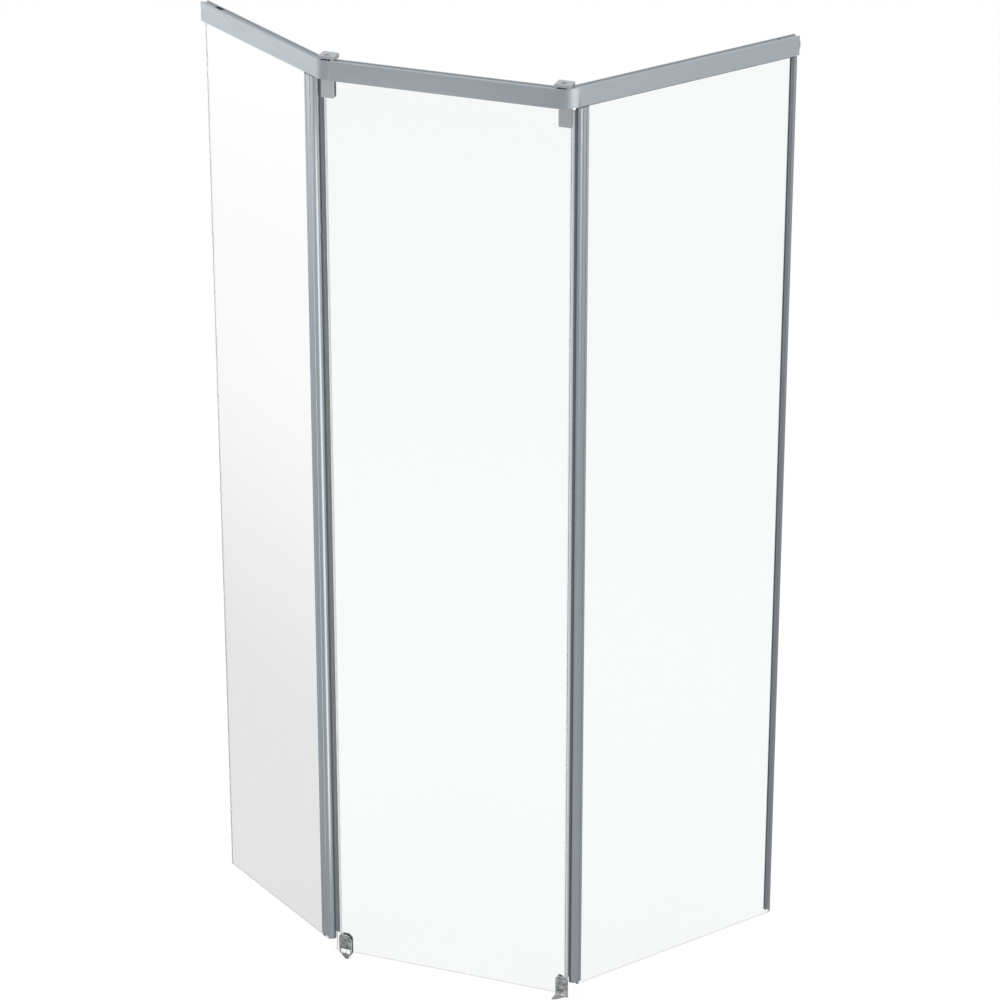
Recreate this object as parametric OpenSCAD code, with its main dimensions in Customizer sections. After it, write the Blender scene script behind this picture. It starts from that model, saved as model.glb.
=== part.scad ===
// Five-sided corner shower front: a bent top rail carries a fixed middle pane and two pivot doors.
// X runs along the left wall side, Y along the right wall side, and the room's corner is at -X, +Y.
// The origin is on the floor, in the middle of the plan box, and depths are measured from the
// rail's outer face towards the shower.

/* [Plan] */
// Overall width along X, connector nose included
plan_x = 818; // [760:1:1000]
// Overall depth along Y, connector nose included
plan_y = 809; // [760:1:1000]
// Length of the left side, from its wall end to the first corner
left_side = 423; // [340:1:480]
// Length of the right side, from the second corner to its wall end
right_side = 536.5; // [440:0.5:600]

/* [Heights] */
// Height of the rail's top above the feet
rail_top = 1918; // [1700:1:2100]
// Height of the fixed pane's lower edge above the feet
pane_foot = 18; // [14:0.5:40]
// Height of the doors' lower edge above the feet
door_foot = 33; // [28:0.5:60]
// Height of the hinge posts' lower end above the doors' lower edge
post_rise = 10.5; // [3:0.5:20]
// Gap between the doors and the rail's underside
door_head_gap = 2; // [1.5:0.1:8]
// Gap between the fixed pane and the rail's underside
pane_head_gap = 5; // [4:0.5:12]

/* [Top rail] */
// Height of the rail
rail_h = 37.4; // [32:0.1:50]
// Depth of the rail
rail_d = 18; // [17:0.1:24]
// Wall of the rail
rail_wall = 2; // [1.5:0.1:2.5]
// Width of the lips that turn in at the rail's open top
rail_lip = 4.5; // [3:0.1:4.5]
// Chamfer on the rail's outer top edges
rail_chamfer = 0.8; // [0.3:0.1:1.2]
// Outer radius of the rail's bends
bend_r = 55; // [40:1:60]
// Depth of the strip in the rail's top below the lips
infill_sink = 0.6; // [0.2:0.1:1.2]
// Thickness of the strip in the rail's top
infill_t = 1.2; // [0.8:0.1:1.4]
// Length left open between the left connector and the strip
left_infill_gap = 27; // [5:1:60]
// Length left open between the right connector and the strip
right_infill_gap = 6; // [5:1:60]

/* [Rail end connectors] */
// Length of a connector inside the rail
connector_len = 38; // [30:1:80]
// Length of a connector's nose outside the rail
connector_nose = 3.5; // [2:0.1:8]
// Radius of the screw hole along a connector
connector_hole_r = 2.75; // [2:0.05:3.5]
// Radius of the small connector screws
connector_screw_r = 2; // [1.5:0.1:2.5]

/* [Glass] */
// Thickness of every pane
glass_t = 6; // [5:0.5:8]
// Distance from the rail's inner face to the fixed pane's middle plane
pane_set = 4; // [3.5:0.1:8]
// Distance from a corner to the fixed pane's vertical edge
pane_edge = 0.5; // [0:0.1:4]

/* [Hinge posts] */
// Distance from the first corner to the left hinge axis
left_axis = 30.3; // [28:0.1:45]
// Distance from the second corner to the right hinge axis
right_axis = 35; // [33:0.1:50]
// Reach of the left post from its axis towards the glass
left_post_reach = 28; // [18:0.5:36]
// Reach of the right post from its axis towards the glass
right_post_reach = 15; // [13:0.5:30]
// Radius of the post's round nose
nose_r = 8; // [7.5:0.1:8.2]
// Thickness of the post behind its nose
post_t = 14; // [13:0.1:15]
// Radius of the flutes beside the nose
flute_r = 1.3; // [0.8:0.1:1.6]
// Wall between the pin port and the glazing channel
post_web = 2.5; // [2:0.1:4]
// Thickness of the rubber on each side of the door glass
gasket_t = 1.2; // [1:0.1:1.5]
// Thickness of a post cap
cap_t = 1.5; // [1:0.1:2]
// Length of the gasket's tail below the post
gasket_tail = 10; // [4:0.5:12]
// Width of the gasket's tail along the door
tail_w = 5; // [3:0.5:7]

/* [Pivots] */
// Radius of the pivot pins
pin_r = 4.5; // [3.5:0.1:4.8]
// Radial clearance of a pin in its bush or port
pin_fit = 0.05; // [0.02:0.01:0.1]
// Length of a pin inside the post
pin_hold = 30; // [20:1:60]
// Length of the lower bush
lower_bush_len = 22; // [12:1:40]
// Radius of the lower bush's bore, which takes the floor pin
floor_pin_r = 3; // [2:0.1:3.6]
// Radius of the upper bush's sleeve
bush_r = 6; // [5.8:0.1:6.4]
// Radius of the upper bush's collar
bush_collar_r = 6.8; // [6.6:0.1:6.9]
// Thickness of the upper bush's collar
bush_collar_t = 3; // [2:0.5:6]

/* [Rail brackets] */
// Width of a bracket's jaws
jaw_w = 25; // [22:0.5:36]
// How far the left front jaw reaches past the corner
left_jaw_over = 5; // [0:0.5:6]
// How far the right front jaw reaches past the corner
right_jaw_over = 3; // [0:0.5:6]
// Thickness of a jaw
jaw_t = 3.4; // [3:0.1:5]
// Thickness of the pads between jaw and glass
pad_t = 1; // [0.8:0.1:1.5]
// Height of the jaws below the rail
jaw_drop = 39; // [34:1:60]
// Width of the cap over the rail
bridge_w = 32; // [28:1:44]
// Height of the cap over the rail
bridge_t = 8.5; // [6:0.5:12]
// Gap under the cap's front part
bridge_gap = 3; // [1:0.1:4.5]
// Radius of the clamp screws
clamp_screw_r = 3; // [2:0.1:3.5]
// Radius of the holes in the glass for the clamp screws
glass_hole_r = 5; // [4.5:0.1:6]

/* [Foot clips] */
// Width of a foot clip
clip_w = 25.5; // [24:0.5:36]
// How far the left foot clip reaches past the corner
left_clip_over = 1.5; // [0:0.5:5]
// How far the right foot clip reaches past the corner
right_clip_over = 8.5; // [0:0.5:9]
// Height of a foot clip above the pane's lower edge
clip_rise = 39; // [30:1:60]
// Radius of the clip's small upper corner
clip_round = 5; // [3:0.5:7]
// Radius of the clip's large upper corner
clip_sweep = 12; // [8:0.5:13]
// Chamfer on the clip's lower corner under the small upper one
clip_cut = 3.5; // [1:0.5:3.5]
// Thickness of the clip's floor under the glass
clip_floor = 4; // [3:0.5:6]
// Height of the slot across the clip's front jaw
clip_slot = 4.5; // [3:0.5:7]
// Height of the sloped sill under the slot
clip_slope = 7.5; // [4:0.5:9]
// Height of the clip's front below its sloped sill
clip_sill = 2.5; // [2:0.5:5]
// Width of a wedge foot at its top
foot_w = 18; // [14:0.5:24]
// Width of a wedge foot at its tip
foot_tip_w = 5; // [4:0.5:9]
// How far the left foot's tip stands from its stud, towards the pane's middle
left_foot_shift = 0; // [0:0.5:20]
// How far the right foot's tip stands from its stud, towards the pane's middle
right_foot_shift = 15.5; // [0:0.5:20]

/* [Seals and closing edge] */
// Wall of the fixed pane's edge seals
seal_t = 1.4; // [1:0.1:1.8]
// Width of the seal on the glass
seal_grip = 0.8; // [0.4:0.1:0.9]
// Width of the seal from the glass edge outwards
seal_w = 8; // [4:0.1:8.5]
// Thickness of the rubber fin on the seal
fin_t = 1.6; // [1:0.1:2.5]
// Gap between the fin and the hinge post's nose
fin_gap = 0.6; // [0.4:0.1:1.5]
// Distance from the rail's left end to the left door's free edge
left_edge_gap = 6; // [4:0.5:14]
// Distance from the rail's right end to the right door's free edge
right_edge_gap = 0.5; // [0:0.5:12]
// Depth of the closing profile along the right door
closer_len = 5.5; // [5:0.5:12]
// Width of the closing profile's gasket along the right door
closing_gasket_w = 6; // [3:0.5:8]
// Thickness of the closing profile
closer_t = 9; // [8.6:0.1:11]
// Height of the closing profile's lower end above the door's lower edge
closer_rise = 9; // [4:1:20]
// Depth of the magnetic strip along the right door
magnet_len = 2; // [1.5:0.1:3]

/* [Hidden] */
$fn = 64;

// Plan: corner points of the rail's outer face and the middle side's direction
end_a = [-plan_x / 2 + connector_nose, -plan_y / 2];
corner_b = [-plan_x / 2 + left_side, -plan_y / 2];
corner_c = [plan_x / 2, plan_y / 2 - right_side];
end_d = [plan_x / 2, plan_y / 2 - connector_nose];
mid_len = norm(corner_c - corner_b);
mid_angle = atan2(corner_c[1] - corner_b[1], corner_c[0] - corner_b[0]);
mid_dir = [cos(mid_angle), sin(mid_angle)];
mid_in = [-sin(mid_angle), cos(mid_angle)];
bend_b = mid_angle;
bend_c = 90 - mid_angle;
join = 0.002;
tangent_b = bend_r * tan(bend_b / 2);
tangent_c = bend_r * tan(bend_c / 2);

// Heights
rail_foot = rail_top - rail_h;
door_top = rail_foot - door_head_gap;
pane_top = rail_foot - pane_head_gap;
post_top = door_top - cap_t;
post_foot = door_foot + post_rise;
jaw_foot = rail_foot - jaw_drop;
clip_top = pane_foot + clip_rise;
clip_base = pane_foot - pad_t - clip_floor;

// Depths of the fixed pane's layers
pane_depth = rail_d + pane_set;
glass_front = pane_depth - glass_t / 2;
glass_back = pane_depth + glass_t / 2;
jaw_front = glass_front - pad_t - jaw_t;
jaw_back = glass_back + pad_t + jaw_t;
channel_mid = rail_d / 2;

// Hinge axes in plan, and as seen from each corner along the middle side
left_axis_at = corner_b + [-left_axis, channel_mid];
right_axis_at = corner_c + [-channel_mid, right_axis];
left_axis_local = [(left_axis_at - corner_b) * mid_dir, (left_axis_at - corner_b) * mid_in];
right_axis_local = [-(right_axis_at - corner_c) * mid_dir, (right_axis_at - corner_c) * mid_in];

// Glazing channel of the posts
channel_half = glass_t / 2 + gasket_t;
channel_from = pin_r + pin_fit + post_web;
glass_from = channel_from + gasket_t;
left_glass_to = left_axis_at[0] - end_a[0] - left_edge_gap;
right_reach = end_d[1] - right_axis_at[1] - right_edge_gap;
right_glass_to = right_reach - magnet_len - 1;

// Clamp screws of jaws and clips
plate_from = pane_edge + 1;
function jaw_over(side) = side == "left" ? left_jaw_over : right_jaw_over;
function jaw_mid(side) = (jaw_w - jaw_over(side)) / 2 + pane_edge / 2;
function plate_w(side) = jaw_w - jaw_over(side) - plate_from;
function plate_mid(side) = plate_from + plate_w(side) / 2;
function clip_over(side) = side == "left" ? left_clip_over : right_clip_over;
function clip_plate_w(side) = clip_w - clip_over(side) - plate_from;
function clip_mid(side) = plate_from + clip_plate_w(side) / 2;
function clip_floor_w(side) = clip_plate_w(side) - (side == "left" ? 0 : clip_cut);
jaw_screw_z = [jaw_foot + jaw_drop * 0.28, jaw_foot + jaw_drop * 0.68];
clip_screw_z = pane_foot + clip_rise * 0.5;
head_r = clamp_screw_r + 1.8;
head_t = 2.4;
thread_hold = jaw_t - 1.2;

// Colours
alu = [0.66, 0.68, 0.71];
chrome = [0.72, 0.74, 0.75];
rubber = [0.2, 0.21, 0.22];
nylon = [0.45, 0.47, 0.48];
steel = [0.6, 0.61, 0.62];
glass = [0.86, 0.93, 0.92, 0.35];
clear = [0.82, 0.84, 0.85, 0.6];

// Draws children in a corner's frame: x along the middle side from the corner, y inwards
module at_corner(side) {
    if (side == "left")
        translate([corner_b[0], corner_b[1], 0]) rotate([0, 0, mid_angle]) children();
    else
        translate([corner_c[0], corner_c[1], 0]) rotate([0, 0, mid_angle]) mirror([1, 0, 0]) children();
}

// Draws children in a door's frame: x from the hinge axis to the free edge, y outwards
module at_door(side) {
    if (side == "left")
        translate([left_axis_at[0], left_axis_at[1], 0]) rotate([0, 0, 180]) children();
    else
        translate([right_axis_at[0], right_axis_at[1], 0]) mirror([1, -1, 0]) children();
}

// Draws children in a rail end's frame: x into the rail from its end, y inwards, z up
module at_end(side) {
    if (side == "left")
        translate([end_a[0], end_a[1], 0]) children();
    else
        translate([end_d[0], end_d[1], 0]) rotate([0, 0, 90]) mirror([1, 0, 0]) children();
}

// Brings a shape drawn in the shared frame into a corner's frame
module at_corner_undo(side) {
    if (side == "left")
        rotate([0, 0, -mid_angle]) translate([-corner_b[0], -corner_b[1], 0]) children();
    else
        mirror([1, 0, 0]) rotate([0, 0, -mid_angle]) translate([-corner_c[0], -corner_c[1], 0]) children();
}

// Top rail
module rail_section() {
    difference() {
        polygon([[0, rail_foot], [rail_d, rail_foot], [rail_d, rail_top - rail_chamfer],
            [rail_d - rail_chamfer, rail_top], [rail_chamfer, rail_top], [0, rail_top - rail_chamfer]]);
        translate([rail_wall, rail_foot + rail_wall])
            square([rail_d - 2 * rail_wall, rail_h - 2 * rail_wall]);
        translate([rail_lip, rail_top - 1.5 * rail_wall])
            square([rail_d - 2 * rail_lip, 2 * rail_wall]);
    }
}

// A straight stretch of a section drawn as (depth, height), from the frame's origin along x
module run(length) {
    rotate([90, 0, 90])
        linear_extrude(height = length)
            children();
}

// A bend that starts at the frame's origin and turns left
module rail_bend(bend) {
    translate([0, bend_r, 0])
        rotate([0, 0, -90])
            rotate_extrude(angle = bend, $fn = 96)
                translate([bend_r, 0])
                    mirror([1, 0])
                        children();
}

// Draws children in the frame at a bend's far end, a hair inside it so that the solids join
module after_bend(bend) {
    translate([0, bend_r, 0])
        rotate([0, 0, bend])
            translate([-join, -bend_r, 0])
                children();
}

// The rail's outline swept round both corners, for a section given as the child
module rail_sweep() {
    first = corner_b[0] - tangent_b - end_a[0];
    second = mid_len - tangent_b - tangent_c;
    third = end_d[1] - corner_c[1] - tangent_c;
    translate([corner_b[0] - tangent_b, corner_b[1], 0]) {
        translate([-first, 0, 0]) run(first + join) children();
        rail_bend(bend_b) children();
        after_bend(bend_b) {
            run(second + 2 * join) children();
            translate([second + join, 0, 0]) {
                rail_bend(bend_c) children();
                after_bend(bend_c) run(third + join) children();
            }
        }
    }
}

module top_rail() {
    color(alu)
    difference() {
        rail_sweep() rail_section();
        for (p = [left_axis_at, right_axis_at])
            translate([p[0], p[1], rail_foot - 1])
                cylinder(r = bush_r + pin_fit, h = rail_wall + 2);
        for (side = ["left", "right"])
            at_end(side)
                for (x = connector_screw_x)
                    translate([x, rail_d - rail_wall - 1, connector_mid_z])
                        rotate([-90, 0, 0])
                            cylinder(r = connector_screw_r + 0.2, h = rail_wall + 2);
    }
}

// The strip that closes the slot between the rail's lips, short of the connectors
infill_play = 0.3;
infill_w = rail_d - 2 * rail_lip - 2 * infill_play;
infill_web = 3;
infill_flange = 1.5;
infill_top = rail_top - infill_sink;
infill_foot = rail_top - 1.5 * rail_wall - infill_t - infill_play;

module infill_section() {
    translate([channel_mid - infill_w / 2, infill_top - infill_t])
        square([infill_w, infill_t]);
    for (from = [-infill_w / 2, infill_w / 2 - infill_web])
        translate([channel_mid + from, infill_foot])
            square([infill_web, infill_top - infill_foot]);
    translate([channel_mid - infill_w / 2 - infill_flange, infill_foot])
        square([infill_w + 2 * infill_flange, infill_t]);
}

module rail_infill() {
    color(alu)
    difference() {
        rail_sweep() infill_section();
        for (side = ["left", "right"]) {
            at_end(side)
                translate([-1, -1, rail_foot])
                    cube([infill_from(side) + 1, rail_d + 2, rail_h + 1]);
            at_corner(side)
                translate([jaw_mid(side), bridge_screw_depth(side), 0]) {
                    translate([0, 0, rail_foot])
                        cylinder(r = clamp_screw_r + infill_play, h = rail_h + 1);
                    translate([-nut_w / 2 - infill_play, -nut_w / 2 - infill_play, nut_z - infill_play])
                        cube([nut_w + 2 * infill_play, nut_w + 2 * infill_play, nut_t + 2 * infill_play]);
                }
        }
    }
}

function infill_from(side) = connector_len + (side == "left" ? left_infill_gap : right_infill_gap);

// Rail end connectors
connector_gap = 0.2;
connector_h = rail_h - 2 * rail_wall - 2 * connector_gap;
connector_d = rail_d - 2 * rail_wall - 2 * connector_gap;
connector_mid_z = rail_foot + rail_h / 2;
connector_screw_x = [connector_len * 0.3, connector_len * 0.75];
nose_chamfer = connector_nose * 0.7;

module rail_connector(side) {
    color(nylon)
    at_end(side)
        difference() {
            union() {
                translate([0, rail_wall + connector_gap, rail_foot + rail_wall])
                    cube([connector_len, connector_d, connector_h + connector_gap]);
                translate([0, rail_wall + connector_gap + connector_d, connector_mid_z])
                    rotate([90, 0, 0])
                        linear_extrude(height = connector_d)
                            polygon([[0, -connector_h * 0.42], [0, connector_h * 0.3],
                                [-connector_nose + nose_chamfer, connector_h * 0.3],
                                [-connector_nose, connector_h * 0.3 - nose_chamfer],
                                [-connector_nose, -connector_h * 0.1]]);
            }
            translate([-connector_nose - 1, channel_mid, connector_mid_z])
                rotate([0, 90, 0])
                    cylinder(r = connector_hole_r, h = connector_len + connector_nose + 2);
            for (x = connector_screw_x)
                translate([x, channel_mid + connector_hole_r + 1.2, connector_mid_z])
                    rotate([-90, 0, 0])
                        cylinder(r = connector_screw_r + pin_fit, h = connector_d);
        }
}

module connector_screws() {
    color(steel)
    for (side = ["left", "right"])
        at_end(side)
            for (x = connector_screw_x)
                translate([x, channel_mid + connector_hole_r + 1.6, connector_mid_z])
                    rotate([-90, 0, 0]) {
                        cylinder(r = connector_screw_r, h = rail_d - channel_mid - connector_hole_r - 1.6);
                        translate([0, 0, rail_d - channel_mid - connector_hole_r - 1.6])
                            button_head(connector_screw_r + 1.4, 1.6);
                    }
}

// A low domed screw head with a hexagon socket, sitting on z = 0
module button_head(r, h) {
    difference() {
        rotate_extrude()
            polygon([[0, 0], [r, 0], [r, h * 0.35], [r * 0.72, h * 0.85], [r * 0.4, h], [0, h]]);
        translate([0, 0, h * 0.45])
            cylinder(r = r * 0.38, h = h, $fn = 6);
    }
}

// Fixed pane
module fixed_pane() {
    color(glass)
    difference() {
        at_corner("left")
            translate([pane_edge, glass_front, pane_foot])
                cube([mid_len - 2 * pane_edge, glass_t, pane_top - pane_foot]);
        for (side = ["left", "right"])
            at_corner(side)
                for (at = concat([for (z = jaw_screw_z) [plate_mid(side), z]], [[clip_mid(side), clip_screw_z]]))
                    translate([at[0], glass_front - 1, at[1]])
                        rotate([-90, 0, 0])
                            cylinder(r = glass_hole_r, h = glass_t + 2);
    }
}

// A seal over the pane's edge: flush strip in front, short leg behind
strip_t = 0.4;

module pane_seal(side) {
    gap = 0.1;
    front = glass_front - gap - strip_t;
    back = glass_back + gap + seal_t;
    color(clear)
    at_corner(side)
        translate([0, 0, pane_foot])
            linear_extrude(height = pane_top - 1 - pane_foot)
                polygon([[pane_edge - seal_w, front], [pane_edge + seal_grip, front],
                    [pane_edge + seal_grip, glass_front - gap], [pane_edge - gap, glass_front - gap],
                    [pane_edge - gap, glass_back + gap], [pane_edge + seal_grip, glass_back + gap],
                    [pane_edge + seal_grip, back], [pane_edge - gap - seal_t, back],
                    [pane_edge - gap - seal_t, front + seal_t], [pane_edge - seal_w, front + seal_t]]);
}

// A rubber fin that ends beside the post's nose: from the seal's web on the left, and from the
// strip's outer end on the right
module pane_fin(side) {
    axis = side == "left" ? left_axis_local : right_axis_local;
    root = side == "left" ? [pane_edge - 0.2 - seal_t, pane_depth + glass_t / 4]
        : [pane_edge - seal_w + fin_t / 2, glass_front + seal_t - strip_t];
    away = (root - axis) / norm(root - axis);
    tip = axis + (nose_r + fin_gap) * away;
    side_step = fin_t / 2 * [-away[1], away[0]];
    root_step = side == "left" ? [0, fin_t / 2] : [fin_t / 2, 0];
    color(rubber)
    at_corner(side)
        translate([0, 0, clip_top + 1])
            linear_extrude(height = pane_top - clip_top - 2)
                polygon([root - root_step, tip - side_step, tip + side_step, root + root_step]);
}

// Rail brackets: front jaw, riser behind the rail, and cap over the rail's open top
module rail_bracket(side) {
    riser_back = jaw_back - 1;
    riser_from = side == "left" ? plate_from : plate_from + 7;
    riser_w = plate_from + plate_w(side) - riser_from;
    color(alu)
    at_corner(side)
        difference() {
            union() {
                translate([-jaw_over(side), jaw_front, jaw_foot])
                    rounded_jaw(jaw_w, jaw_t, rail_foot - jaw_foot, 2);
                translate([riser_from, jaw_front, pane_top + 0.5])
                    cube([riser_w, riser_back - jaw_front, rail_foot - pane_top - 0.5]);
                translate([riser_from, rail_d, pane_top + 0.5])
                    cube([riser_w, riser_back - rail_d, rail_top - pane_top]);
                translate([jaw_mid(side) - bridge_w / 2, 0, rail_top])
                    bridge_cap(riser_back);
            }
            for (z = jaw_screw_z)
                translate([plate_mid(side), jaw_front + 1.2, z])
                    rotate([-90, 0, 0])
                        cylinder(r = clamp_screw_r + pin_fit, h = jaw_t);
            translate([jaw_mid(side), bridge_screw_depth(side), rail_top - 1])
                cylinder(r = clamp_screw_r + 0.3, h = bridge_t + 2);
            translate([jaw_mid(side), bridge_screw_depth(side), rail_top + bridge_t - head_t])
                cylinder(r = head_r + 0.3, h = head_t + 1);
            at_corner_undo(side)
                rail_sweep()
                    translate([-0.3, rail_foot])
                        square([rail_d + 0.6, rail_h]);
        }
}

// A jaw plate with its two lower corners rounded
module rounded_jaw(w, t, h, r) {
    rotate([90, 0, 0])
        mirror([0, 0, 1])
            linear_extrude(height = t)
                union() {
                    translate([0, r]) square([w, h - r]);
                    translate([r, 0]) square([w - 2 * r, r]);
                    for (x = [r, w - r]) translate([x, r]) circle(r = r, $fn = 32);
                }
}

// The cap: a plate on the rail's lips with an open slot under its front edge
module bridge_cap(back) {
    front = rail_wall;
    bevel = 1.5;
    leg = bridge_w * 0.2;
    difference() {
        translate([0, back, 0])
            rotate([90, 0, 0])
                linear_extrude(height = back - front)
                    polygon([[0, 0], [0, bridge_t - bevel], [bevel, bridge_t],
                        [bridge_w - bevel, bridge_t], [bridge_w, bridge_t - bevel],
                        [bridge_w, 0]]);
        translate([leg, front - 1, -1])
            cube([bridge_w - 2 * leg, rail_d - rail_lip - front + 1, bridge_gap + 1]);
    }
}

module clamp_plate(side) {
    color(alu)
    at_corner(side)
        difference() {
            translate([plate_from, glass_back + pad_t, jaw_foot])
                rounded_jaw(plate_w(side), jaw_t, pane_top - jaw_foot, 2);
            for (z = jaw_screw_z)
                translate([plate_mid(side), glass_back, z])
                    rotate([-90, 0, 0])
                        cylinder(r = clamp_screw_r + 0.3, h = jaw_t + pad_t + 1);
        }
}

// A pad on one face of the glass, with a screw hole at each given height
module pad(w, depth, from_z, to_z, holes) {
    difference() {
        translate([plate_from, depth, from_z])
            cube([w, pad_t, to_z - from_z]);
        for (z = holes)
            translate([plate_from + w / 2, depth - 1, z])
                rotate([-90, 0, 0])
                    cylinder(r = glass_hole_r, h = pad_t + 2);
    }
}

module bracket_pads() {
    color(rubber)
    for (side = ["left", "right"])
        at_corner(side)
            for (depth = [glass_front - pad_t, glass_back])
                pad(plate_w(side), depth, jaw_foot + 1, pane_top - 1, jaw_screw_z);
}

// A screw from behind: head outside the rear jaw, shank through the glass into the front jaw
module clamp_screw(mid, z) {
    translate([mid, jaw_back, z])
        rotate([-90, 0, 0])
            button_head(head_r, head_t);
    translate([mid, jaw_front + jaw_t - thread_hold, z])
        rotate([-90, 0, 0])
            cylinder(r = clamp_screw_r, h = jaw_back - jaw_front - jaw_t + thread_hold);
}

module clamp_screws() {
    color(steel)
    for (side = ["left", "right"])
        at_corner(side)
            for (z = jaw_screw_z)
                clamp_screw(plate_mid(side), z);
}

// Screws through the caps, and the nuts that they pull against the rail's lips
nut_t = 4;
nut_z = rail_top - 1.5 * rail_wall - nut_t;
nut_w = 9;
function bridge_screw_depth(side) =
    bend_r - sqrt(pow(bend_r - channel_mid, 2)
        - pow(max(0, (side == "left" ? tangent_b : tangent_c) - jaw_mid(side)), 2));

module bridge_screws() {
    color(steel)
    for (side = ["left", "right"])
        at_corner(side)
            translate([jaw_mid(side), bridge_screw_depth(side), 0]) {
                translate([0, 0, rail_top + bridge_t - head_t])
                    button_head(head_r, head_t);
                translate([0, 0, nut_z - 4])
                    cylinder(r = clamp_screw_r, h = rail_top + bridge_t - head_t - nut_z + 4);
            }
}

module channel_nuts() {
    color(steel)
    for (side = ["left", "right"])
        at_corner(side)
            difference() {
                translate([jaw_mid(side) - nut_w / 2, bridge_screw_depth(side) - nut_w / 2, nut_z])
                    cube([nut_w, nut_w, nut_t]);
                translate([jaw_mid(side), bridge_screw_depth(side), nut_z - 1])
                    cylinder(r = clamp_screw_r + pin_fit, h = nut_t + 2);
            }
}

// Foot clips: a U that holds the pane's lower corner, with a slot over a sloped sill in front
slot_end = 3;

module foot_clip(side) {
    h = clip_top - clip_base;
    over = clip_over(side);
    slope_foot = clip_base + clip_sill;
    slope_top = slope_foot + clip_slope;
    color(chrome)
    at_corner(side)
        difference() {
            union() {
                translate([-over, jaw_front, clip_base])
                    clip_jaw(clip_w, h, side);
                translate([plate_from, jaw_front, clip_base])
                    cube([clip_floor_w(side), jaw_back - jaw_front, clip_floor]);
                translate([plate_from, glass_back + pad_t, clip_base])
                    clip_jaw(clip_plate_w(side), h, side);
            }
            translate([-over + slot_end, 0, 0])
                rotate([90, 0, 90])
                    linear_extrude(height = clip_w - 2 * slot_end)
                        polygon([[jaw_front - 1, slope_foot - clip_slope / jaw_t],
                            [jaw_front + jaw_t, slope_top], [jaw_front + jaw_t, slope_top + clip_slot],
                            [jaw_front - 1, slope_top + clip_slot]]);
            translate([clip_mid(side), jaw_front + 1.2, clip_screw_z])
                rotate([-90, 0, 0])
                    cylinder(r = clamp_screw_r + pin_fit, h = jaw_t);
            translate([clip_mid(side), glass_back, clip_screw_z])
                rotate([-90, 0, 0])
                    cylinder(r = clamp_screw_r + 0.3, h = jaw_t + pad_t + 1);
            translate([clip_mid(side), pane_depth, clip_base - 1])
                cylinder(r = clamp_screw_r + pin_fit, h = clip_floor + 2);
        }
}

// A jaw of the clip; both clips are the same piece, so the right one is turned in its mirrored frame
module clip_jaw(w, h, side) {
    rotate([90, 0, 0])
        mirror([0, 0, 1])
            linear_extrude(height = jaw_t)
                if (side == "left")
                    clip_outline(w, h);
                else
                    translate([w, 0]) mirror([1, 0]) clip_outline(w, h);
}

module clip_outline(w, h) {
    difference() {
        square([w, h]);
        translate([0, h])
            corner_waste(clip_round);
        translate([w, h])
            mirror([1, 0]) corner_waste(clip_sweep);
        polygon([[-1, -1], [clip_cut + 1, -1], [-1, clip_cut + 1]]);
    }
}

// What a round leaves of an upper left corner at the origin
module corner_waste(r) {
    difference() {
        translate([-1, -r])
            square([r + 1, r + 1]);
        translate([r, -r])
            circle(r = r);
    }
}

module clip_pads() {
    color(rubber)
    for (side = ["left", "right"])
        at_corner(side) {
            for (depth = [glass_front - pad_t, glass_back])
                pad(clip_plate_w(side), depth, pane_foot, clip_top - clip_sweep, [clip_screw_z]);
            translate([plate_from, glass_front - pad_t, pane_foot - pad_t])
                cube([clip_floor_w(side), glass_t + 2 * pad_t, pad_t]);
        }
}

module clip_screws() {
    color(steel)
    for (side = ["left", "right"])
        at_corner(side)
            clamp_screw(clip_mid(side), clip_screw_z);
}

// Wedge feet: a stud in the clip's floor carries a foot that tapers to its tip
module wedge_foot(side) {
    depth = 13;
    tip = side == "left" ? left_foot_shift : right_foot_shift;
    color(chrome)
    at_corner(side)
        translate([clip_mid(side), pane_depth, 0]) {
            intersection() {
                translate([0, depth / 2, 0])
                    rotate([90, 0, 0])
                        linear_extrude(height = depth)
                            polygon([[tip - foot_tip_w / 2, 0], [tip + foot_tip_w / 2, 0],
                                [foot_w / 2, clip_base - 2], [foot_w / 2, clip_base],
                                [-foot_w / 2, clip_base], [-foot_w / 2, clip_base - 2]]);
                translate([-foot_w, 0, 0])
                    rotate([90, 0, 90])
                        linear_extrude(height = 3 * foot_w)
                            polygon([[-depth / 2 + 3, 0], [depth / 2 - 3, 0],
                                [depth / 2, clip_base * 0.6], [depth / 2, clip_base],
                                [-depth / 2, clip_base], [-depth / 2, clip_base * 0.6]]);
            }
            translate([0, 0, clip_base - 0.5])
                cylinder(r = clamp_screw_r, h = clip_floor);
        }
}

// Upper pivot bushes: dropped into the rail's floor from inside its channel
module pivot_bush(at) {
    color(nylon)
    translate([at[0], at[1], rail_foot])
        difference() {
            union() {
                cylinder(r = bush_r, h = rail_wall + bush_collar_t);
                translate([0, 0, rail_wall])
                    cylinder(r = bush_collar_r, h = bush_collar_t);
            }
            translate([0, 0, -1])
                cylinder(r = pin_r + pin_fit, h = rail_wall + bush_collar_t + 2);
        }
}

// Hinge posts
module post_outline(reach) {
    union() {
        circle(r = nose_r);
        translate([0, -post_t / 2])
            square([reach, post_t]);
        for (s = [-1, 1])
            translate([reach - 4.5, s * (post_t / 2) - 0.5])
                square([4.5, 1]);
    }
}

module post_section(reach) {
    difference() {
        post_outline(reach);
        circle(r = pin_r + pin_fit);
        translate([channel_from, -channel_half])
            square([reach, 2 * channel_half]);
        for (s = [-1, 1])
            translate([nose_r + flute_r, s * post_t / 2])
                circle(r = flute_r, $fn = 24);
    }
}

module hinge_post(side, reach) {
    color(alu)
    at_door(side)
        translate([0, 0, post_foot])
            linear_extrude(height = post_top - post_foot)
                post_section(reach);
}

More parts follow.
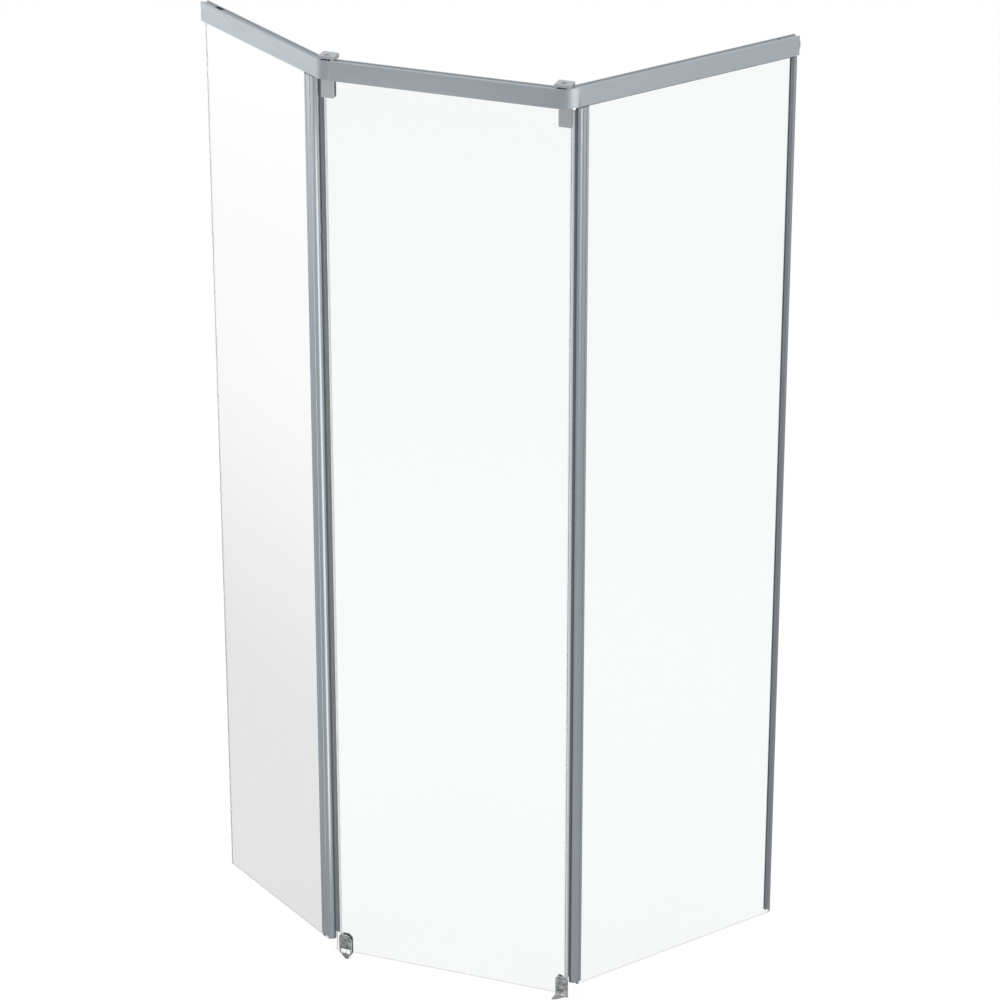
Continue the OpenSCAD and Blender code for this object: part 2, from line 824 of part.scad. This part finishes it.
// Glazing gasket: rubber on both faces and the edge of the glass, and a tail below the post,
// on the left door's outer face and on the right door's inner face
module post_gasket(side, reach) {
    gap = 0.05;
    tail_y = side == "left" ? glass_t / 2 + gap : -channel_half + gap;
    color(rubber)
    at_door(side) {
        translate([0, 0, post_foot])
            linear_extrude(height = post_top - post_foot)
                difference() {
                    translate([channel_from + gap, -channel_half + gap])
                        square([reach - channel_from - gap, 2 * (channel_half - gap)]);
                    translate([glass_from - gap, -glass_t / 2 - gap])
                        square([reach, glass_t + 2 * gap]);
                }
        translate([reach - tail_w, tail_y, post_foot - gasket_tail])
            cube([tail_w, gasket_t - 2 * gap, gasket_tail]);
    }
}

module post_caps(side, reach) {
    color(nylon)
    at_door(side)
        for (z = [post_foot - cap_t, post_top])
            translate([0, 0, z])
                linear_extrude(height = cap_t)
                    difference() {
                        post_outline(reach);
                        circle(r = pin_r + pin_fit);
                        translate([z < post_top ? glass_from - 0.3 : reach - tail_w, -channel_half - 0.3])
                            square([reach, 2 * channel_half + 0.6]);
                    }
}

module upper_pin(side) {
    color(steel)
    at_door(side)
        translate([0, 0, post_top - pin_hold])
            cylinder(r = pin_r, h = pin_hold + cap_t + door_head_gap + rail_wall + bush_collar_t + 2);
}

// Lower bush: it takes the floor pin, which comes with the tray
module lower_bush(side) {
    color(nylon)
    at_door(side)
        translate([0, 0, post_foot - cap_t])
            difference() {
                cylinder(r = pin_r, h = lower_bush_len);
                translate([0, 0, -1])
                    cylinder(r = floor_pin_r, h = lower_bush_len + 2);
            }
}

// Door panes
module door_pane(side, to) {
    color(glass)
    at_door(side)
        translate([glass_from, -glass_t / 2, door_foot])
            cube([to - glass_from, glass_t, post_top - door_foot]);
}

// Closing edge of the right door: aluminium channel, inner gasket and magnetic strip
closer_from = right_reach - magnet_len - closer_len;

module closing_profile() {
    gap = 0.1;
    color(alu)
    at_door("right")
        translate([0, 0, door_foot + closer_rise])
            linear_extrude(height = post_top - door_foot - closer_rise)
                difference() {
                    translate([closer_from, -closer_t / 2])
                        square([closer_len, closer_t]);
                    translate([closer_from - 1, -glass_t / 2 - gap])
                        square([right_glass_to - closer_from + 1 + gap, glass_t + 2 * gap]);
                }
}

module closing_gasket() {
    gap = 0.1;
    color(rubber)
    at_door("right")
        for (s = [-1, 1])
            translate([closer_from - closing_gasket_w, s > 0 ? glass_t / 2 + gap : 0.4 - closer_t / 2,
                door_foot + closer_rise])
                cube([closing_gasket_w, (closer_t - glass_t) / 2 - gap - 0.4, post_top - door_foot - closer_rise]);
}

module magnetic_strip() {
    color(rubber)
    at_door("right")
        translate([right_reach - magnet_len, -closer_t / 2 + 1, door_foot + 2])
            cube([magnet_len, closer_t - 2, post_top - door_foot - 2]);
}

top_rail();
rail_infill();
rail_connector("left");  // rail_connector_left
rail_connector("right");  // rail_connector_right
connector_screws();
fixed_pane();
pane_seal("left");  // pane_seal_left
pane_seal("right");  // pane_seal_right
pane_fin("left");  // pane_fin_left
pane_fin("right");  // pane_fin_right
rail_bracket("left");  // rail_bracket_left
rail_bracket("right");  // rail_bracket_right
clamp_plate("left");  // clamp_plate_left
clamp_plate("right");  // clamp_plate_right
bracket_pads();
clamp_screws();
bridge_screws();
channel_nuts();
foot_clip("left");  // foot_clip_left
foot_clip("right");  // foot_clip_right
clip_pads();
clip_screws();
wedge_foot("left");  // wedge_foot_left
wedge_foot("right");  // wedge_foot_right
pivot_bush(left_axis_at);  // pivot_bush_left
pivot_bush(right_axis_at);  // pivot_bush_right
door_pane("left", left_glass_to);  // left_door_pane
hinge_post("left", left_post_reach);  // left_hinge_post
post_gasket("left", left_post_reach);  // left_post_gasket
post_caps("left", left_post_reach);  // left_post_caps
upper_pin("left");  // left_upper_pin
lower_bush("left");  // left_lower_bush
door_pane("right", right_glass_to);  // right_door_pane
hinge_post("right", right_post_reach);  // right_hinge_post
post_gasket("right", right_post_reach);  // right_post_gasket
post_caps("right", right_post_reach);  // right_post_caps
upper_pin("right");  // right_upper_pin
lower_bush("right");  // right_lower_bush
closing_profile();
closing_gasket();
magnetic_strip();
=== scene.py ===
import math
import bpy
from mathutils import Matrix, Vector

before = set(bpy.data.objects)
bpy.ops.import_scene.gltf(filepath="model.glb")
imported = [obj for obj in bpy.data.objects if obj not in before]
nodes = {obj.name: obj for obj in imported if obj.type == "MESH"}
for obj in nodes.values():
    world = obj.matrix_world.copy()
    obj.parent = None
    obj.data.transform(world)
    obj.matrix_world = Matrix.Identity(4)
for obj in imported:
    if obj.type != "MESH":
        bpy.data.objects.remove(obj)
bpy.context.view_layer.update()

# Colours come in pairs, the darker one first
ANODISED = ((0.555, 0.61, 0.655), (0.595, 0.65, 0.695))
INFILL_ALU = ((0.40, 0.44, 0.47), (0.44, 0.48, 0.51))
CLOSER_ALU = ((0.44, 0.475, 0.51), (0.48, 0.515, 0.55))
BRACKET_ALU = ((0.64, 0.665, 0.69), (0.69, 0.715, 0.74))
SCREW_STEEL = ((0.5, 0.5, 0.51), (0.58, 0.58, 0.59))
CHROME_PAINTED_REFLECTIONS = ((0.30, 0.31, 0.32), (0.84, 0.85, 0.86))
BLACK_RUBBER = ((0.035, 0.037, 0.042), (0.06, 0.062, 0.068))
# Rubber fin, darkened further as painted shade of the gap between the right seal and post
FIN_PAINTED_SHADE = ((0.14, 0.15, 0.165), (0.18, 0.19, 0.205))
GREY_FIN = ((0.22, 0.235, 0.255), (0.27, 0.285, 0.31))
NYLON = ((0.3, 0.32, 0.34), (0.36, 0.38, 0.4))
MAGNET = ((0.3, 0.32, 0.35), (0.37, 0.39, 0.42))

# Noises: scale per metre and detail
GRAIN = (900.0, 3.0)
TONE = (5.0, 4.0)
DENTS = (110.0, 2.0)
SPECKS = (260.0, 5.0)
SMEARS = (3.2, 5.0)
STREAKS = (180.0, 3.0)
NOISE_ROUGHNESS = 0.55
NOISE_REACH = (0.3, 0.7)

# How a noise is drawn out: coordinates are squeezed along its grain
EVEN = (1, 1, 1)
GRAIN_FLAT = (0.02, 0.02, 1)
GRAIN_UP = (1, 1, 0.01)
GRAIN_BRUSHED = (1, 1, 0.3)
SMEARS_UP = (1, 1, 0.35)
STREAKS_UP = (1, 1, 0.05)

# Bumps: strength and distance in metres
GRAIN_BUMP = (0.04, 0.0002)
DENT_BUMP = (0.6, 0.0012)
SPECK_BUMP = (0.08, 0.0003)
CHROME_ROUGH = (0.08, 0.16)

# Glass: tints, the share of light through a ground edge, and roughness of smears
GLASS_TINT = (0.945, 0.962, 0.957)
GLASS_EDGE = (0.46, 0.52, 0.52)
GLASS_CLEAR = (0.985, 0.992, 0.990)
GLASS_IOR = 1.48
EDGE_THROUGH = 0.35
FACE_TURN = 0.5
SMEAR_ROUGH = (0.0, 0.003)

# Painted reflection: the left pane's colour darkens downwards, standing in for a fading
# reflection; heights in metres
PAINTED_REFLECTION_TINT = (0.803, 0.803, 0.801)
NO_PAINTED_REFLECTION = (1, 1, 1)
PAINTED_REFLECTION_LOW = 0.42
PAINTED_REFLECTION_HIGH = 1.32

# Middle side: its direction and corners in plan, and the seals on the pane's edges
MIDDLE = (0.823, 0.568, 0.0)
MIDDLE_BACK = (-0.823, -0.568, 0.0)
CORNER_LEFT = (0.014, -0.4045)
CORNER_RIGHT = (0.409, -0.132)
# Painted shade: the left seal's rim is darkened where its face turns from the light
LEFT_RIM_PAINTED_SHADE = (0.16, 0.175, 0.195)
LEFT_CLEAR_REACH = 0.0068
RIGHT_RIM = (0.62, 0.65, 0.68)
RIGHT_CLEAR_REACH = 0.0042
RIM_STREAK = 1.08
SEAL_CLEAR = (0.98, 0.99, 0.99)
SEAL_IOR = 1.42
SEAL_ROUGH = (0.15, 0.25)
SEAL_BLUR = 0.0004

# Levels for rays that see a surface directly, for glossy rays, and for all others
FLOOR_LEVELS = (0.85, 0.26, 0.5)
WORLD_LEVELS = (1.0, 0.9, 0.85)
FLOOR_GREY = (0.2, 0.2, 0.2)
FLOOR_SIDE = 60

# Glowing floor patches: centre, heading in degrees, half length, half width, level
PATCH_CORE = 0.4
PATCHES = (
    ((-7.4, -5.8), 212, 6.2, 3.5, 1.1),
    ((10.4, 1.6), 9, 6.2, 3.6, 2.8),
    ((7.5, 5.7), 38, 6.2, 3.0, 0.32),
)

# The strip in front of the left post: level, and the share of each half side at full level
STRIP_LEVEL = 1.15
STRIP_CORES = (("X", 0.3), ("Y", 0.92))
STRIP_PLACE = (0.2, -0.72, 0.83)
STRIP_HALF_SIDES = (0.24, 0.84, 1)
STRIP_HEADING = 32

LAMP_PLACE = (0.5, -1.0, 6.0)
LAMP_TARGET = (0, 0, 0.8)
LAMP_SIDE = 3.5
LAMP_WATTS = 100

# Camera from the photo's vanishing lines
CAMERA_PLACE = (6.02895, -4.22125, 4.3419)
CAMERA_DIP = 24.944
CAMERA_HEADING = 54.956
CAMERA_LENS = 147.3
CAMERA_SENSOR = 36.0


# Small helpers for node trees
def empty_tree(owner):
    owner.use_nodes = True
    owner.node_tree.nodes.clear()
    return owner.node_tree


def new_material(name):
    mat = bpy.data.materials.new(name)
    tree = empty_tree(mat)
    out = tree.nodes.new("ShaderNodeOutputMaterial")
    shader = tree.nodes.new("ShaderNodeBsdfPrincipled")
    tree.links.new(shader.outputs["BSDF"], out.inputs["Surface"])
    return mat, tree, shader, out


def feed(tree, socket, value):
    """Links the socket to value, or sets it where value is a number or a colour."""
    if isinstance(value, bpy.types.NodeSocket):
        tree.links.new(value, socket)
    else:
        socket.default_value = (*value, 1) if socket.type == "RGBA" else value


def calculate(tree, operation, *values):
    node = tree.nodes.new("ShaderNodeMath")
    node.operation = operation
    for socket, value in zip(node.inputs, values):
        feed(tree, socket, value)
    return node.outputs["Value"]


def map_range(tree, value, source, target, smooth=False):
    node = tree.nodes.new("ShaderNodeMapRange")
    if smooth:
        node.interpolation_type = "SMOOTHSTEP"
    ends = ("From Min", "From Max", "To Min", "To Max")
    for end, number in zip(ends, (*source, *target)):
        node.inputs[end].default_value = number
    tree.links.new(value, node.inputs["Value"])
    return node.outputs["Result"]


def blend_colours(tree, share, first, second, mode="MIX"):
    node = tree.nodes.new("ShaderNodeMix")
    node.data_type = "RGBA"
    node.blend_type = mode
    feed(tree, node.inputs["Factor"], share)
    feed(tree, node.inputs["A"], first)
    feed(tree, node.inputs["B"], second)
    return node.outputs["Result"]


def coordinate(tree, output):
    return tree.nodes.new("ShaderNodeTexCoord").outputs[output]


def object_part(tree, axis):
    place = tree.nodes.new("ShaderNodeSeparateXYZ")
    tree.links.new(coordinate(tree, "Object"), place.inputs["Vector"])
    return place.outputs[axis]


def along(tree, output, direction):
    """How far the given coordinate reaches along a direction."""
    dot = tree.nodes.new("ShaderNodeVectorMath")
    dot.operation = "DOT_PRODUCT"
    dot.inputs[1].default_value = direction
    tree.links.new(coordinate(tree, output), dot.inputs[0])
    return dot.outputs["Value"]


def noise(tree, kind, stretch):
    mapping = tree.nodes.new("ShaderNodeMapping")
    mapping.inputs["Scale"].default_value = stretch
    tree.links.new(coordinate(tree, "Object"), mapping.inputs["Vector"])
    tex = tree.nodes.new("ShaderNodeTexNoise")
    tex.inputs["Scale"].default_value, tex.inputs["Detail"].default_value = kind
    tex.inputs["Roughness"].default_value = NOISE_ROUGHNESS
    tree.links.new(mapping.outputs["Vector"], tex.inputs["Vector"])
    return tex.outputs["Fac"]


def spread(tree, value, target):
    """Noise seldom leaves its middle part, so that part fills the target range."""
    return map_range(tree, value, NOISE_REACH, target)


def bump(tree, shader, height, size):
    node = tree.nodes.new("ShaderNodeBump")
    node.inputs["Strength"].default_value, node.inputs["Distance"].default_value = size
    tree.links.new(height, node.inputs["Height"])
    tree.links.new(node.outputs["Normal"], shader.inputs["Normal"])


def add_shaders(tree, first, second):
    both = tree.nodes.new("ShaderNodeAddShader")
    tree.links.new(first, both.inputs[0])
    tree.links.new(second, both.inputs[1])
    return both.outputs["Shader"]


# Metal with fine grain drawn along one axis
def metal(name, colours, roughs, stretch):
    mat, tree, shader, _ = new_material(name)
    shader.inputs["Metallic"].default_value = 1.0
    grain = noise(tree, GRAIN, stretch)
    tone = noise(tree, TONE, EVEN)
    feed(tree, shader.inputs["Base Color"], blend_colours(tree, tone, *colours))
    feed(tree, shader.inputs["Roughness"], spread(tree, grain, roughs))
    bump(tree, shader, grain, GRAIN_BUMP)
    return mat


# Chromed casting: patchy reflections from a slightly wavy surface, and painted reflections as
# dark and bright patches in its colour
def chromed(name, colours):
    mat, tree, shader, _ = new_material(name)
    shader.inputs["Metallic"].default_value = 1.0
    dents = noise(tree, DENTS, EVEN)
    # Painted reflection: the colour swings between dark and bright patches
    patches = spread(tree, dents, (0.0, 1.0))
    feed(tree, shader.inputs["Base Color"], blend_colours(tree, patches, *colours))
    feed(tree, shader.inputs["Roughness"], spread(tree, dents, CHROME_ROUGH))
    bump(tree, shader, dents, DENT_BUMP)
    return mat


# Matt rubber and plastic with fine specks
def plastic(name, colours, roughs):
    mat, tree, shader, _ = new_material(name)
    specks = noise(tree, SPECKS, EVEN)
    feed(tree, shader.inputs["Base Color"], blend_colours(tree, specks, *colours))
    feed(tree, shader.inputs["Roughness"], spread(tree, specks, roughs))
    bump(tree, shader, specks, SPECK_BUMP)
    return mat


# Clear glass whose upright cut edges are ground and darker; lamps shine through it. An
# optional painted reflection darkens its colour towards the bottom.
def glass(name, tint, across, painted_reflection=None):
    mat, tree, shader, out = new_material(name)
    shader.inputs["IOR"].default_value = GLASS_IOR
    turn = calculate(tree, "ABSOLUTE", along(tree, "Normal", across))
    is_face = calculate(tree, "LESS_THAN", turn, FACE_TURN)
    through = map_range(tree, is_face, (0.0, 1.0), (EDGE_THROUGH, 1.0))
    feed(tree, shader.inputs["Transmission Weight"], through)
    smears = noise(tree, SMEARS, SMEARS_UP)
    feed(tree, shader.inputs["Roughness"], spread(tree, smears, SMEAR_ROUGH))
    colour = blend_colours(tree, is_face, GLASS_EDGE, tint)
    # Painted reflection: the pane's colour darkens towards the bottom
    if painted_reflection is not None:
        height = object_part(tree, "Z")
        rise = map_range(tree, height, (PAINTED_REFLECTION_LOW, PAINTED_REFLECTION_HIGH), (0.0, 1.0), smooth=True)
        reflection_tint = blend_colours(tree, rise, painted_reflection, NO_PAINTED_REFLECTION)
        colour = blend_colours(tree, 1.0, colour, reflection_tint, "MULTIPLY")
    feed(tree, shader.inputs["Base Color"], colour)
    clear = tree.nodes.new("ShaderNodeBsdfTransparent")
    feed(tree, clear.inputs["Color"], tint)
    path = tree.nodes.new("ShaderNodeLightPath")
    mix = tree.nodes.new("ShaderNodeMixShader")
    tree.links.new(path.outputs["Is Shadow Ray"], mix.inputs["Fac"])
    tree.links.new(shader.outputs["BSDF"], mix.inputs[1])
    tree.links.new(clear.outputs["BSDF"], mix.inputs[2])
    tree.links.new(mix.outputs["Shader"], out.inputs["Surface"])
    return mat


# Pane edge seal: clear up to clear_reach outwards of the corner, with a tinted rim beyond; on
# the left seal the rim's dark tint is painted shade
def edge_seal(name, rim, inwards, corner, clear_reach):
    mat, tree, shader, _ = new_material(name)
    shader.inputs["IOR"].default_value = SEAL_IOR
    start = inwards[0] * corner[0] + inwards[1] * corner[1] - clear_reach
    reach = along(tree, "Object", inwards)
    is_clear = map_range(tree, reach, (start - SEAL_BLUR, start + SEAL_BLUR), (0.0, 1.0))
    streaks = noise(tree, STREAKS, STREAKS_UP)
    lighter = tuple(min(1.0, c * RIM_STREAK) for c in rim)
    body = blend_colours(tree, streaks, rim, lighter)
    feed(tree, shader.inputs["Base Color"], blend_colours(tree, is_clear, body, SEAL_CLEAR))
    feed(tree, shader.inputs["Transmission Weight"], is_clear)
    feed(tree, shader.inputs["Roughness"], spread(tree, streaks, SEAL_ROUGH))
    return mat


alu_rail = metal("anodised_rail", ANODISED, (0.32, 0.42), GRAIN_FLAT)
alu_infill = metal("anodised_infill", INFILL_ALU, (0.36, 0.46), GRAIN_FLAT)
alu_post = metal("anodised_post", ANODISED, (0.28, 0.38), GRAIN_UP)
alu_closer = metal("anodised_closer", CLOSER_ALU, (0.28, 0.38), GRAIN_UP)
bracket_metal = metal("bracket_metal", BRACKET_ALU, (0.34, 0.44), GRAIN_BRUSHED)
chrome = chromed("chrome", CHROME_PAINTED_REFLECTIONS)
steel = metal("screw_steel", SCREW_STEEL, (0.25, 0.35), EVEN)
rubber = plastic("black_rubber", BLACK_RUBBER, (0.55, 0.75))
# Rubber plus painted shade: the right fin stands in for the shadowed gap
fin_painted_shade = plastic("fin_painted_shade", FIN_PAINTED_SHADE, (0.5, 0.7))
fin_rubber = plastic("fin_rubber", GREY_FIN, (0.5, 0.7))
nylon = plastic("grey_nylon", NYLON, (0.45, 0.6))
magnet = plastic("magnet_strip", MAGNET, (0.4, 0.55))
seal_left = edge_seal("seal_left", LEFT_RIM_PAINTED_SHADE, MIDDLE, CORNER_LEFT, LEFT_CLEAR_REACH)
seal_right = edge_seal("seal_right", RIGHT_RIM, MIDDLE_BACK, CORNER_RIGHT, RIGHT_CLEAR_REACH)

LOOKS = {
    "top_rail": alu_rail,
    "rail_infill": alu_infill,
    "rail_connector_left": nylon,
    "rail_connector_right": nylon,
    "connector_screws": steel,
    "fixed_pane": glass("glass_fixed", GLASS_TINT, MIDDLE),
    "pane_seal_left": seal_left,
    "pane_seal_right": seal_right,
    "pane_fin_left": fin_rubber,
    "pane_fin_right": fin_painted_shade,
    "rail_bracket_left": bracket_metal,
    "rail_bracket_right": bracket_metal,
    "clamp_plate_left": bracket_metal,
    "clamp_plate_right": bracket_metal,
    "bracket_pads": rubber,
    "clamp_screws": steel,
    "bridge_screws": steel,
    "channel_nuts": steel,
    "foot_clip_left": chrome,
    "foot_clip_right": chrome,
    "clip_pads": rubber,
    "clip_screws": steel,
    "wedge_foot_left": chrome,
    "wedge_foot_right": chrome,
    "pivot_bush_left": nylon,
    "pivot_bush_right": nylon,
    "left_door_pane": glass("glass_left", GLASS_CLEAR, (1, 0, 0), PAINTED_REFLECTION_TINT),
    "left_hinge_post": alu_post,
    "left_post_gasket": rubber,
    "left_post_caps": nylon,
    "left_upper_pin": steel,
    "left_lower_bush": nylon,
    "right_door_pane": glass("glass_right", GLASS_TINT, (0, 1, 0)),
    "right_hinge_post": alu_post,
    "right_post_gasket": rubber,
    "right_post_caps": nylon,
    "right_upper_pin": steel,
    "right_lower_bush": nylon,
    "closing_profile": alu_closer,
    "closing_gasket": fin_rubber,
    "magnetic_strip": magnet,
}
for name, mat in LOOKS.items():
    data = nodes[name].data
    data.materials.clear()
    data.materials.append(mat)


# Studio: pale floor that keeps the shadow, white all round it, one soft lamp
def ray_level(tree, seen, mirrored, other, mirrored_extra=None):
    """A level that depends on the kind of ray that looks."""
    path = tree.nodes.new("ShaderNodeLightPath")
    glossy = path.outputs["Is Glossy Ray"]
    is_seen = calculate(
        tree, "MAXIMUM", path.outputs["Is Camera Ray"], path.outputs["Is Transmission Ray"])
    level = calculate(tree, "MULTIPLY_ADD", glossy, mirrored - other, other)
    if mirrored_extra is not None:
        level = calculate(tree, "MULTIPLY_ADD", glossy, mirrored_extra, level)
    pick = tree.nodes.new("ShaderNodeMix")
    pick.data_type = "FLOAT"
    feed(tree, pick.inputs["Factor"], is_seen)
    feed(tree, pick.inputs["A"], level)
    feed(tree, pick.inputs["B"], seen)
    return pick.outputs["Result"]


def soft_patch(tree, centre, heading, half_length, half_width, top):
    """A soft-edged ellipse on the floor: top inside its core, 0 outside it."""
    local = tree.nodes.new("ShaderNodeMapping")
    local.vector_type = "TEXTURE"
    local.inputs["Location"].default_value = (*centre, 0)
    local.inputs["Rotation"].default_value = (0, 0, math.radians(heading))
    local.inputs["Scale"].default_value = (half_length, half_width, 1)
    tree.links.new(coordinate(tree, "Object"), local.inputs["Vector"])
    reach = tree.nodes.new("ShaderNodeVectorMath")
    reach.operation = "LENGTH"
    tree.links.new(local.outputs["Vector"], reach.inputs[0])
    return map_range(tree, reach.outputs["Value"], (PATCH_CORE, 1.0), (top, 0.0), smooth=True)


def floor_material():
    """Matt floor that glows evenly, and in reflections also by patches."""
    mat = bpy.data.materials.new("studio_floor")
    tree = empty_tree(mat)
    out = tree.nodes.new("ShaderNodeOutputMaterial")
    matt = tree.nodes.new("ShaderNodeBsdfDiffuse")
    feed(tree, matt.inputs["Color"], FLOOR_GREY)
    glow = tree.nodes.new("ShaderNodeEmission")
    total = None
    for patch in PATCHES:
        level = soft_patch(tree, *patch)
        total = level if total is None else calculate(tree, "ADD", total, level)
    feed(tree, glow.inputs["Strength"], ray_level(tree, *FLOOR_LEVELS, total))
    both = add_shaders(tree, matt.outputs["BSDF"], glow.outputs["Emission"])
    tree.links.new(both, out.inputs["Surface"])
    return mat


def strip_material():
    """Glows in blurred reflections only, so on the metal and not on the panes."""
    mat = bpy.data.materials.new("studio_strip")
    tree = empty_tree(mat)
    out = tree.nodes.new("ShaderNodeOutputMaterial")
    glow = tree.nodes.new("ShaderNodeEmission")
    path = tree.nodes.new("ShaderNodeLightPath")
    level = STRIP_LEVEL
    for axis, core in STRIP_CORES:
        from_middle = calculate(tree, "ABSOLUTE", object_part(tree, axis))
        fall = map_range(tree, from_middle, (core, 1.0), (1.0, 0.0), smooth=True)
        level = calculate(tree, "MULTIPLY", fall, level)
    blurred = calculate(tree, "SUBTRACT", 1.0, path.outputs["Is Singular Ray"])
    feed(tree, glow.inputs["Strength"], calculate(tree, "MULTIPLY", level, blurred))
    clear = tree.nodes.new("ShaderNodeBsdfTransparent")
    both = add_shaders(tree, clear.outputs["BSDF"], glow.outputs["Emission"])
    tree.links.new(both, out.inputs["Surface"])
    return mat


def plane(name, size, place, mat):
    bpy.ops.mesh.primitive_plane_add(size=size, location=place)
    obj = bpy.context.object
    obj.name = name
    obj.data.materials.append(mat)
    return obj


def lamp(name, place, target, side, power):
    data = bpy.data.lights.new(name, "AREA")
    data.shape = "RECTANGLE"
    data.size = data.size_y = side
    data.energy = power
    obj = bpy.data.objects.new(name, data)
    bpy.context.collection.objects.link(obj)
    obj.location = place
    obj.rotation_euler = (Vector(target) - Vector(place)).to_track_quat("-Z", "Y").to_euler()
    obj.visible_camera = False
    obj.visible_transmission = False
    obj.visible_glossy = False


floor = plane("studio_floor", FLOOR_SIDE, (0, 0, 0), floor_material())

world = bpy.data.worlds.new("studio_world")
bpy.context.scene.world = world
tree = empty_tree(world)
out = tree.nodes.new("ShaderNodeOutputWorld")
sky = tree.nodes.new("ShaderNodeBackground")
feed(tree, sky.inputs["Strength"], ray_level(tree, *WORLD_LEVELS))
tree.links.new(sky.outputs["Background"], out.inputs["Surface"])

lamp("lamp_top", LAMP_PLACE, LAMP_TARGET, LAMP_SIDE, LAMP_WATTS)

strip = plane("studio_strip", 2, STRIP_PLACE, strip_material())
strip.scale = STRIP_HALF_SIDES
strip.rotation_euler = (math.radians(90), 0, math.radians(STRIP_HEADING))
strip.visible_camera = False
strip.visible_transmission = False
strip.visible_diffuse = False
strip.visible_shadow = False

data = bpy.data.cameras.new("photo_camera")
data.lens = CAMERA_LENS
data.sensor_width = CAMERA_SENSOR
camera = bpy.data.objects.new("photo_camera", data)
bpy.context.collection.objects.link(camera)
camera.location = CAMERA_PLACE
camera.rotation_euler = (math.radians(90 - CAMERA_DIP), 0, math.radians(CAMERA_HEADING))
bpy.context.scene.camera = camera
bpy.context.scene.view_settings.view_transform = "Standard"
